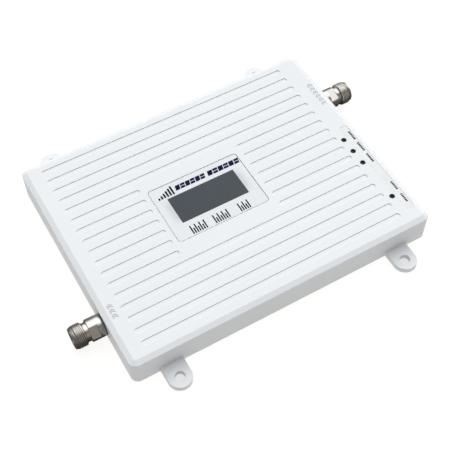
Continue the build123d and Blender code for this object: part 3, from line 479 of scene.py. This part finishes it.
def film_look():
    """White film, slightly grey in a soft band on each side of the window as painted shade."""
    look = Shader("display_film", (0.645, 0.665, 0.68), 0.42, Specular_IOR_Level=0.3)
    axes = look.add("ShaderNodeSeparateXYZ")
    look.link(look.place, axes.inputs["Vector"])
    x0, x1, y0, y1 = (edge * MM for edge in WINDOW)
    left = look.remap(axes.outputs["X"], 0, 1, x0 - SHADE_BAND_REACH, x0 - SHADE_BAND_CORE)
    right = look.remap(axes.outputs["X"], 1, 0, x1 + SHADE_BAND_CORE, x1 + SHADE_BAND_REACH)
    front = look.remap(axes.outputs["Y"], 0, 1, y0 - SHADE_BAND_CORE, y0 + SHADE_BAND_REACH)
    rear = look.remap(axes.outputs["Y"], 1, 0, y1 - SHADE_BAND_REACH, y1 + SHADE_BAND_CORE)
    # Painted shade: the grey band round the window.
    band = look.multiply(look.multiply(left, right), look.multiply(front, rear))
    look.link(look.mix(band, look.color, (0.50, 0.525, 0.56)), look.bsdf.inputs["Base Color"])
    look.vary_roughness(300, 0.04)
    look.bump(look.noise(900, 2.0), 0.00001, 0.4)
    return look.material


def display_film():
    """White film on the plate, open at the window."""
    x0, x1, y0, y1 = PLATE
    film = Prints(PLATE_TOP - SINK, PLATE_TOP + FILM_T)
    outer = round_rect(x0 + FILM_INSET, x1 - FILM_INSET, y0 + FILM_INSET, y1 - FILM_INSET, PLATE_CORNER, 6)
    film.ring(outer, round_rect(*WINDOW, WINDOW_CORNER, 6))
    film.make("display_film", film_look())


def display_window():
    """Dark cell of the display behind the window."""
    x0, x1, y0, y1 = WINDOW
    pane = Prints(PLATE_TOP - SINK, PLATE_TOP + CELL_T)
    pane.bar(x0 - CELL_LAP, x1 + CELL_LAP, y0 - CELL_LAP, y1 + CELL_LAP, CELL_LAP)
    look = Shader("display_cell", (0.031, 0.041, 0.049), 0.25, Specular_IOR_Level=0.17)
    look.mottle(25, 0.05)
    pane.make("display_window", look.material)


def display_prints():
    """Generic stand-ins for the printing: slanted blocks, rising bars and tick rows."""
    z0, z1 = PLATE_TOP + FILM_T - INK_SINK, PLATE_TOP + FILM_T + INK_T
    title = Prints(z0, z1)
    low, high = TITLE_Y
    middle = (low + high) / 2
    for start, pitch in TITLE_GROUPS:
        width = pitch - TITLE_GAP
        for number in range(TITLE_BLOCKS):
            x = start + number * pitch
            if number % 2:
                title.slanted(x, width, low, middle - TITLE_SLIT / 2, low, TITLE_SLANT)
                title.slanted(x, width, middle + TITLE_SLIT / 2, high, low, TITLE_SLANT)
            else:
                title.slanted(x, width, low, high, low, TITLE_SLANT)
    title.make("display_title_blocks", NAVY)
    rising = Prints(z0, z1)
    for number in range(RISING_BARS):
        x = RISING_X + RISING_PITCH * number
        rising.bar(x, x + RISING_W, RISING_Y, RISING_Y + RISING_FIRST + RISING_STEP * number, RISING_CORNER)
    rising.make("display_rising_bars", SLATE)
    ticks = Prints(z0, z1)
    for start, count in TICK_ROWS:
        for number in range(count):
            x = start + TICK_PITCH * number
            length = TICK_LONG if number % 2 == 0 else TICK_SHORT
            ticks.bar(x, x + TICK_W, TICK_Y, TICK_Y + length, TICK_CORNER)
    ticks.make("display_band_ticks", SLATE)


display_film()
display_window()
display_prints()


# ---- marks on the housing, the indicator strip and the rocker -----------------------------------
TOP_Z, TOP_INK_T = 21.4, 0.02
STRIP_TOP = 21.3
STRIP_ROWS = ((103.1, -1.7, 8.4), (102.9, -13.0, 8.6), (102.7, -24.1, 8.4),
              (102.9, -51.9, 7.6), (102.7, -63.3, 7.6))    # middle and length of each row
STRIP_BARS = 6
STRIP_HALF, STRIP_GAP, STRIP_CORNER = 0.8, 0.38, 0.1
PORT_ROWS = ((-101.9, -44.3, 3), (103.0, 43.0, 6))         # middle of each row, pairs of arrow heads
PORT_MARK_PITCH = 3.8
ARROW_HALF, ARROW_RISE, ARROW_STROKE, ARROW_PAIR = 1.9, 1.5, 0.62, 1.4
PIVOT_X = 108.6
SWITCH_Y = -50.5
ROCKER_MID = 2.0
ROCKER_TILT = 11.0
MARK_OUT, MARK_W, MARK_CORNER, RING_R = 2.9, 0.38, 0.1, 1.05


def strip_marks():
    """Rows of short bars in place of the legends beside the indicators."""
    marks = Prints(STRIP_TOP - INK_SINK, STRIP_TOP + INK_T)
    for x, y, length in STRIP_ROWS:
        step = length / STRIP_BARS
        for number in range(STRIP_BARS):
            low = y - length / 2 + number * step
            marks.bar(x - STRIP_HALF, x + STRIP_HALF, low, low + step - STRIP_GAP, STRIP_CORNER)
    marks.make("indicator_bars", BLACK_INK)


def port_marks():
    """Rows of arrow heads beside the ports."""
    marks = Prints(TOP_Z - INK_SINK, TOP_Z + TOP_INK_T)
    for x, y, count in PORT_ROWS:
        for number in range(count):
            low = y + (number - count / 2) * PORT_MARK_PITCH
            for gap in (0, ARROW_PAIR):
                marks.chevron(x, low + gap, ARROW_HALF, ARROW_RISE, ARROW_STROKE)
    marks.make("port_arrow_heads", GREY_INK)


def on_rocker(side):
    """Maps (along Y, from the vee's line, above the face) to one half of the rocker in its off position."""
    slope = math.radians(ROCKER_TILT)

    def place(along, out, lift):
        x = ROCKER_MID + out * math.sin(slope) + lift * math.cos(slope)
        z = side * (out * math.cos(slope) - lift * math.sin(slope))
        return (PIVOT_X + x * math.cos(slope) - z * math.sin(slope), SWITCH_Y + along,
                PORT_Z + x * math.sin(slope) + z * math.cos(slope))

    return place


def rocker_marks():
    """Off ring on the upper half of the rocker and on bar on the lower half."""
    off = Prints(-SINK, INK_T)
    low, high = MARK_OUT - RING_R, MARK_OUT + RING_R
    inner = RING_R - MARK_W
    off.ring(round_rect(-RING_R, RING_R, low, high, RING_R, 8),
             round_rect(-inner, inner, low + MARK_W, high - MARK_W, inner, 8))
    off.make("rocker_off_ring", WHITE_INK, ROCKER, on_rocker(1))
    on = Prints(-SINK, INK_T)
    on.bar(-MARK_W / 2, MARK_W / 2, low, high, MARK_CORNER)
    on.make("rocker_on_bar", WHITE_INK, ROCKER, on_rocker(-1))


strip_marks()
port_marks()
rocker_marks()


# ---- studio ------------------------------------------------------------------------------------
DOME_BASE = 0.30
WARM_WHITE = (1.0, 0.985, 0.97)
# Each lobe: direction, cosines of its edge and core, colour, strength.
DOME_LOBES = (((0.36, 0.42, 0.83), 0.6, 0.95, (0.98, 0.99, 1.0), 2.80),)
FLOOR_PAINT = 0.12
FLOOR_GLOW = 0.92
FLOOR_HALF = 40.0                                          # metres, so that its edge lies far off
FLOOR_DROP = 0.2
EAR_X, EAR_HOLE_Y = 83.3, 95.5
# Painted shadow on the floor: dimmer glow under the ears' holes.
EAR_SHADE, SHADE_CORE, SHADE_REACH = 0.72, 3.5, 6.5        # dimmer glow under the ears' holes
PORT_FILL_AT = (0.4, -1.4, 0.45)                           # metres
PORT_FILL_SIZE, PORT_FILL_WATTS = 1.6, 2.2
PORT_FILL_TINT = (1.0, 0.84, 0.72)
CAMERA_AT = (-0.17657, -0.32442, 0.51489)                  # metres
CAMERA_LOOK, CAMERA_UP = (0.27595, 0.50047, -0.82060), (0.41268, 0.70936, 0.57140)
LENS = 74.24


def lobe(tree, direction, start, stop, color, strength):
    """Soft bright region of the dome round a direction; start and stop are cosines of its edge and core."""
    place = tree.nodes.new("ShaderNodeTexCoord")
    dot = tree.nodes.new("ShaderNodeVectorMath")
    dot.operation = "DOT_PRODUCT"
    dot.inputs[1].default_value = Vector(direction).normalized()
    ramp = tree.nodes.new("ShaderNodeMapRange")
    ramp.interpolation_type = "SMOOTHSTEP"
    ramp.inputs["From Min"].default_value = start
    ramp.inputs["From Max"].default_value = stop
    ramp.inputs["To Max"].default_value = strength
    background = tree.nodes.new("ShaderNodeBackground")
    background.inputs["Color"].default_value = (*color, 1)
    tree.links.new(place.outputs["Generated"], dot.inputs[0])
    tree.links.new(dot.outputs["Value"], ramp.inputs["Value"])
    tree.links.new(ramp.outputs["Result"], background.inputs["Strength"])
    return background.outputs["Background"]


def dome():
    """Light tent: dim and even all round, with a broad bright region high to the rear right."""
    world = bpy.data.worlds.new("studio")
    world.use_nodes = True
    tree = world.node_tree
    tree.nodes["Background"].inputs["Color"].default_value = (*WARM_WHITE, 1)
    tree.nodes["Background"].inputs["Strength"].default_value = DOME_BASE
    total = tree.nodes["Background"].outputs["Background"]
    for direction, start, stop, color, strength in DOME_LOBES:
        join = tree.nodes.new("ShaderNodeAddShader")
        tree.links.new(total, join.inputs[0])
        tree.links.new(lobe(tree, direction, start, stop, color, strength), join.inputs[1])
        total = join.outputs["Shader"]
    tree.links.new(total, tree.nodes["World Output"].inputs["Surface"])
    bpy.context.scene.world = world


def floor():
    """Pale floor that glows evenly, so that it stays white, with a painted shadow of less glow under the
    ears' holes.
    """
    bm = bmesh.new()
    bmesh.ops.create_grid(bm, x_segments=8, y_segments=8, size=FLOOR_HALF)
    mesh = bpy.data.meshes.new("floor")
    bm.to_mesh(mesh)
    bm.free()
    paper = Shader("pale_paper", (FLOOR_PAINT,) * 3, 0.9, Emission_Color=(*WARM_WHITE, 1))
    axes = paper.add("ShaderNodeSeparateXYZ")
    paper.link(paper.place, axes.inputs["Vector"])
    across = paper.math("SUBTRACT", paper.math("ABSOLUTE", axes.outputs["X"]), EAR_X * MM)
    along = paper.math("SUBTRACT", paper.math("ABSOLUTE", axes.outputs["Y"]), EAR_HOLE_Y * MM)
    square = paper.math("ADD", paper.math("POWER", across, 2.0), paper.math("POWER", along, 2.0))
    radius = paper.math("SQRT", square)
    # Painted shadow: the glow drops round each ear hole.
    glow = paper.remap(radius, EAR_SHADE * FLOOR_GLOW, FLOOR_GLOW, SHADE_CORE * MM, SHADE_REACH * MM)
    paper.link(glow, paper.bsdf.inputs["Emission Strength"])
    paper.mottle(3, 0.004)
    paper.bump(paper.noise(400, 2.0), 0.00002, 0.2)
    mesh.materials.append(paper.material)
    made = bpy.data.objects.new("floor", mesh)
    made.location = (0, 0, -FLOOR_DROP * MM)
    bpy.context.scene.collection.objects.link(made)
    return made


def shade_ports(ground):
    """The ground's glow stays off the ports, as in a tent whose floor is dark beside the object."""
    metal_group = bpy.data.collections.new("unlit_by_floor")
    for shell in PORT_SHELLS:
        metal_group.objects.link(shell)
    for item in metal_group.collection_objects:
        item.light_linking.link_state = "EXCLUDE"
    ground.light_linking.receiver_collection = metal_group


def port_fill():
    """Broad weak light from the front that only the ports receive."""
    data = bpy.data.lights.new("port_fill", "AREA")
    data.shape = "DISK"
    data.size = PORT_FILL_SIZE
    data.energy = PORT_FILL_WATTS
    data.color = PORT_FILL_TINT
    light = bpy.data.objects.new("port_fill", data)
    light.location = PORT_FILL_AT
    light.rotation_mode = "QUATERNION"
    light.rotation_quaternion = (-light.location).to_track_quat("-Z", "Y")
    bpy.context.scene.collection.objects.link(light)
    receivers = bpy.data.collections.new("lit_by_port_fill")
    for shell in PORT_SHELLS:
        receivers.objects.link(shell)
    light.light_linking.receiver_collection = receivers


def camera():
    """Camera above and in front of the left part, looking down to the rear right."""
    data = bpy.data.cameras.new("camera")
    data.lens = LENS
    data.sensor_width = 36
    data.clip_start = 0.01
    made = bpy.data.objects.new("camera", data)
    look = Vector(CAMERA_LOOK).normalized()
    right = look.cross(Vector(CAMERA_UP)).normalized()
    turn = Matrix((right, right.cross(look), -look)).transposed().to_4x4()
    made.matrix_world = Matrix.Translation(CAMERA_AT) @ turn
    bpy.context.scene.collection.objects.link(made)
    bpy.context.scene.camera = made


dome()
shade_ports(floor())
port_fill()
camera()
bpy.context.scene.view_settings.view_transform = "Standard"
